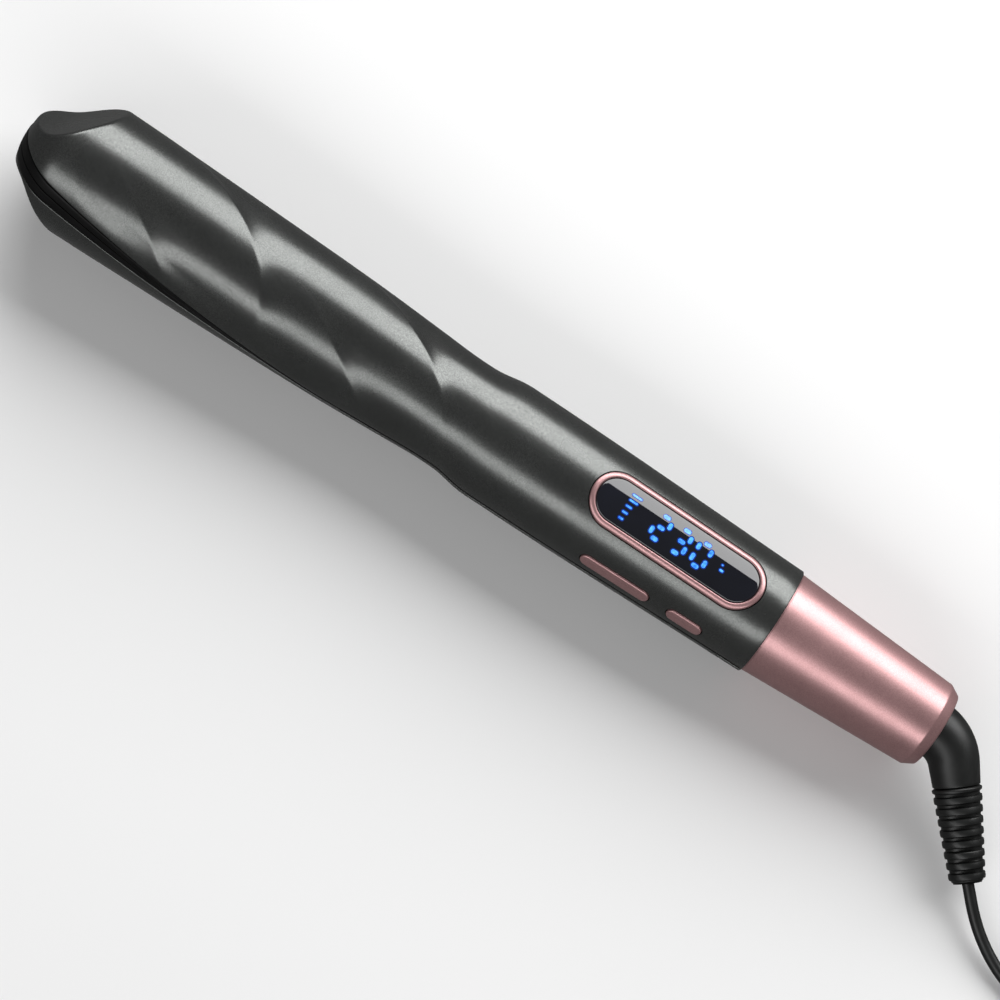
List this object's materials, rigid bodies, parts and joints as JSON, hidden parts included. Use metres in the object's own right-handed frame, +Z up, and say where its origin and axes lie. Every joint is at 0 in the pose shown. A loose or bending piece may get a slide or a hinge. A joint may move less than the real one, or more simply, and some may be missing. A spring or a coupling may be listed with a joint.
{
  "type": "curling iron",
  "caption": "Two-arm hair straightener and curler: twisted fluted barrel, smooth handle with a capsule display and side keys, tapered tail cap, swivel cord neck, cord and plug.",
  "frame": {"origin": "middle of the small flat on the underside of the handle, where the closed tool lies on a table", "axes": "+X along the tool towards the tail and cord, +Z up through the display, -Y towards the keys"},
  "size_m": [0.4278, 0.0951, 0.0397],
  "materials": {
    "graphite_shell": "satin graphite metallic lacquer",
    "black_frame": "fine-grained black moulding",
    "rose_gold": "satin rose-gold metallic lacquer",
    "ceramic_plate": "smooth ceramic-coated aluminium",
    "heater": "extruded aluminium heater housing",
    "mica": "pressed mica sheet",
    "display_glass": "glossy black lens with blue lit digits",
    "switch_plastic": "matt black component plastic",
    "circuit_board": "green solder mask",
    "steel": "zinc-plated steel",
    "rubber_cord": "satin black flexible PVC",
    "strap": "woven black hook-and-loop strap",
    "plug_pin": "nickel-plated brass"
  },
  "bodies": {
    "lower_arm": {"lower_shell": "graphite_shell", "lower_frame": "black_frame", "lower_plate": "ceramic_plate", "lower_heater": "heater", "lower_heat_shield": "mica", "lower_thermistor": "mica", "hinge_pin": "steel", "opening_spring": "steel", "tail_cap": "rose_gold", "cord_run": "rubber_cord", "cord_coil": "rubber_cord", "cord_tie": "strap", "cord_lead": "rubber_cord", "plug_body": "rubber_cord", "plug_pin_left": "plug_pin", "plug_pin_right": "plug_pin"},
    "upper_arm": {"upper_shell": "graphite_shell", "upper_frame": "black_frame", "upper_plate": "ceramic_plate", "display_bezel": "rose_gold", "display_lens": "display_glass", "upper_heater": "heater", "upper_heat_shield": "mica", "upper_thermistor": "mica", "display_module": "switch_plastic", "control_board": "circuit_board", "board_screw_1": "steel", "board_screw_2": "steel", "board_screw_3": "steel", "board_screw_4": "steel", "key_board": "circuit_board", "temperature_up_switch": "switch_plastic", "temperature_down_switch": "switch_plastic", "power_switch": "switch_plastic"},
    "temperature_rocker": {"temperature_rocker": "rose_gold"},
    "power_button": {"power_button": "rose_gold"},
    "swivel": {"swivel_neck": "black_frame", "strain_relief": "rubber_cord", "cord_stub": "rubber_cord"}
  },
  "joints": [
    {"name": "arm_hinge", "type": "hinge", "parent": "lower_arm", "child": "upper_arm", "pos_m": [0.04559, 0, 0.01625], "axis": [0, 1, 0], "range_deg": [0, 11]},
    {"name": "temperature_rock", "type": "hinge", "parent": "upper_arm", "child": "temperature_rocker", "pos_m": [0.00209, -0.01447, 0.02248], "axis": [0.0146, 0.3584, 0.9335], "range_deg": [-2.5, 2.5], "stiffness_Nm_per_rad": 0.05},
    {"name": "power_press", "type": "slide", "parent": "upper_arm", "child": "power_button", "axis": [-0.0056, 0.9336, -0.3583], "range_m": [0, 0.0005], "stiffness_N_per_m": 400},
    {"name": "cord_swivel", "type": "hinge", "parent": "lower_arm", "child": "swivel", "pos_m": [0.09999, 0, 0.0154], "axis": [0.9999, 0, -0.0156], "range_deg": [-180, 180]}
  ]
}
